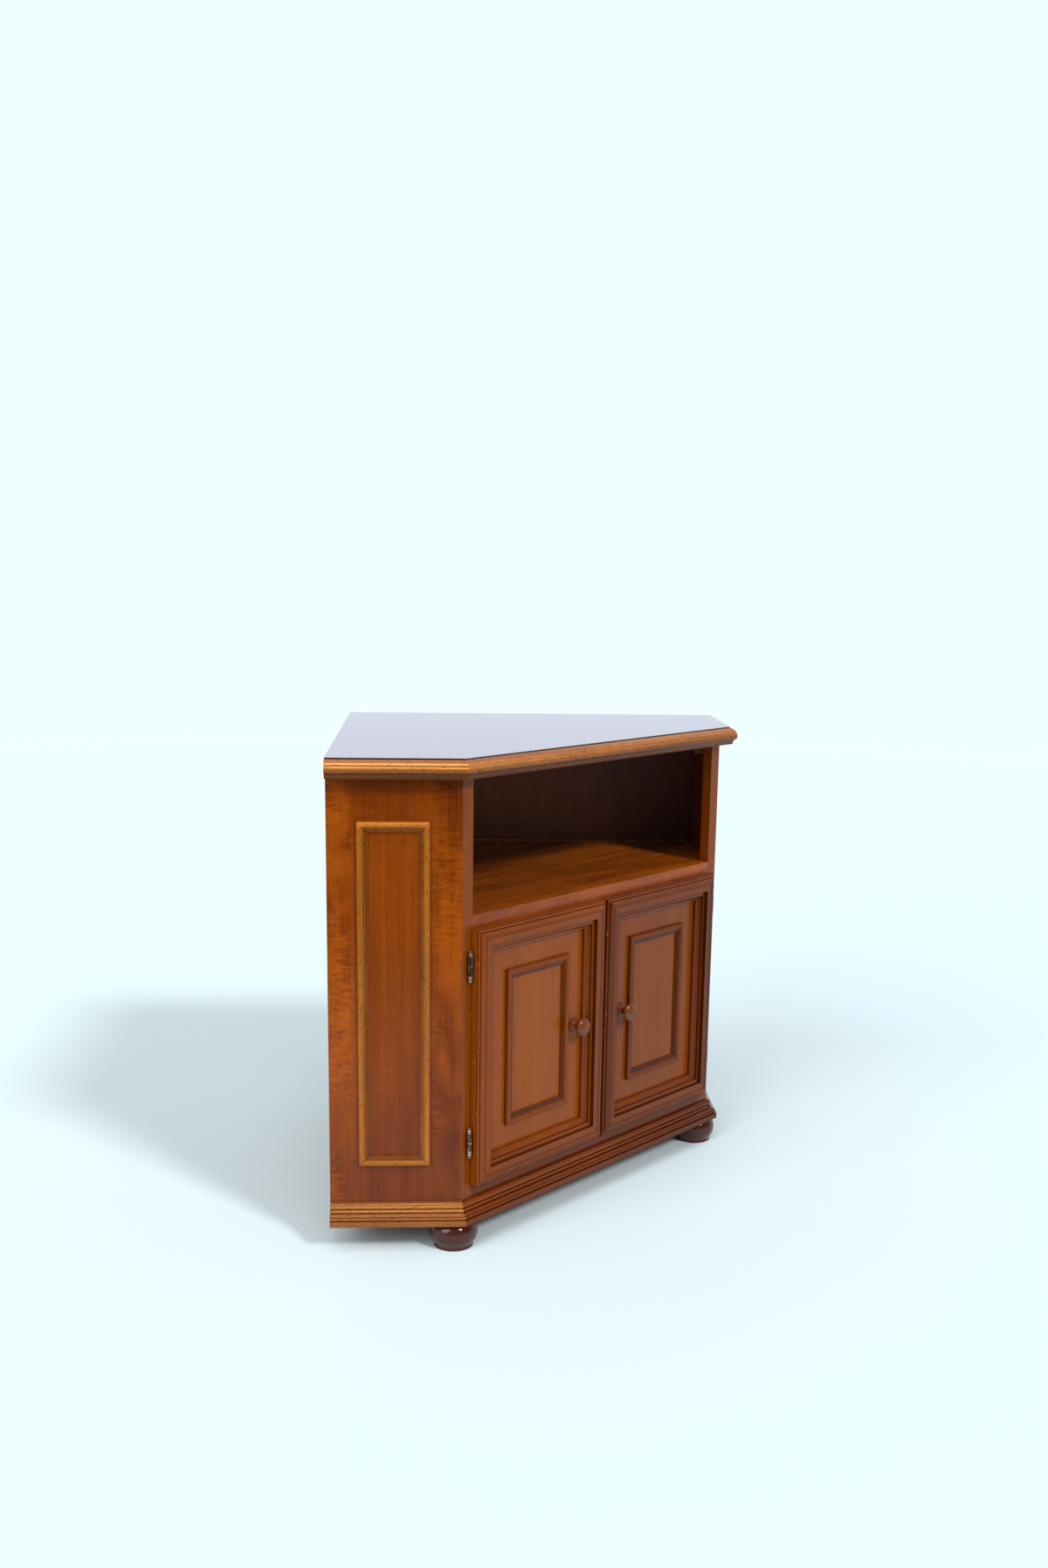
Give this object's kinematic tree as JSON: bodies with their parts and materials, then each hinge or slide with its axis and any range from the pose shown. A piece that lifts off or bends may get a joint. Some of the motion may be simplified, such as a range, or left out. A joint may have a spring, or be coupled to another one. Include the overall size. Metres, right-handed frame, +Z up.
{
  "type": "corner tv cabinet",
  "caption": "Five-sided wooden corner cabinet with an open television niche above a two-door cupboard, moulded top and base, framed doors with turned knobs, and bun feet.",
  "frame": {"origin": "centre of the overall box, on the floor", "axes": "+Z up, the doors face -Y, the back corner points to +Y, +X to the right seen from the front"},
  "size_m": [0.887, 0.5802, 0.7],
  "materials": {
    "case_wood": "glossy lacquered veneer",
    "molding_wood": "glossy lacquered solid wood",
    "door_wood": "glossy lacquered solid wood",
    "knob_wood": "glossy lacquered turned wood",
    "foot_wood": "glossy dark lacquered turned wood",
    "inner_wood": "plain sawn wood",
    "back_board": "plain hardboard",
    "bronze": "dark antique bronze",
    "steel": "zinc plated",
    "catch_plastic": "moulded brown plastic"
  },
  "bodies": {
    "cabinet": {"back_panel_left": "back_board", "back_panel_right": "back_board", "base_back_rail_left": "inner_wood", "base_back_rail_right": "inner_wood", "base_front_rail": "inner_wood", "base_molding_front": "molding_wood", "base_molding_left": "molding_wood", "base_molding_right": "molding_wood", "base_side_rail_left": "inner_wood", "base_side_rail_right": "inner_wood", "bottom_board": "case_wood", "corner_post": "inner_wood", "door_catch_left": "catch_plastic", "door_catch_right": "catch_plastic", "front_foot_left": "foot_wood", "front_foot_right": "foot_wood", "front_post_left": "case_wood", "front_post_right": "case_wood", "hinge_frame_leaves_left": "bronze", "hinge_frame_leaves_right": "bronze", "hinge_frame_screws_left": "steel", "hinge_frame_screws_right": "steel", "hinge_pins_left": "bronze", "hinge_pins_right": "bronze", "rear_feet": "foot_wood", "shelf_board": "case_wood", "shelf_cleat_left": "inner_wood", "shelf_cleat_right": "inner_wood", "side_molding_left": "molding_wood", "side_molding_right": "molding_wood", "side_panel_left": "case_wood", "side_panel_right": "case_wood", "top_board": "case_wood", "top_cleat_left": "inner_wood", "top_cleat_right": "inner_wood", "top_molding_front": "molding_wood", "top_molding_left": "molding_wood", "top_molding_right": "molding_wood"},
    "left_door": {"left_door_bottom_rail": "door_wood", "left_door_hinge_leaves": "bronze", "left_door_hinge_screws": "steel", "left_door_hinge_stile": "door_wood", "left_door_knob": "knob_wood", "left_door_knob_screw": "steel", "left_door_meeting_stile": "door_wood", "left_door_panel": "door_wood", "left_door_panel_molding": "molding_wood", "left_door_strike_plate": "steel", "left_door_top_rail": "door_wood"},
    "right_door": {"right_door_bottom_rail": "door_wood", "right_door_hinge_leaves": "bronze", "right_door_hinge_screws": "steel", "right_door_hinge_stile": "door_wood", "right_door_knob": "knob_wood", "right_door_knob_screw": "steel", "right_door_meeting_stile": "door_wood", "right_door_panel": "door_wood", "right_door_panel_molding": "molding_wood", "right_door_strike_plate": "steel", "right_door_top_rail": "door_wood"}
  },
  "joints": [
    {"name": "left_door_hinge", "type": "hinge", "parent": "cabinet", "child": "left_door", "pos_m": [-0.28311, -0.26773, 0.2765], "axis": [0, 0, -1], "range_deg": [0, 110]},
    {"name": "right_door_hinge", "type": "hinge", "parent": "cabinet", "child": "right_door", "pos_m": [0.28311, -0.26773, 0.2765], "axis": [0, 0, 1], "range_deg": [0, 110]}
  ]
}
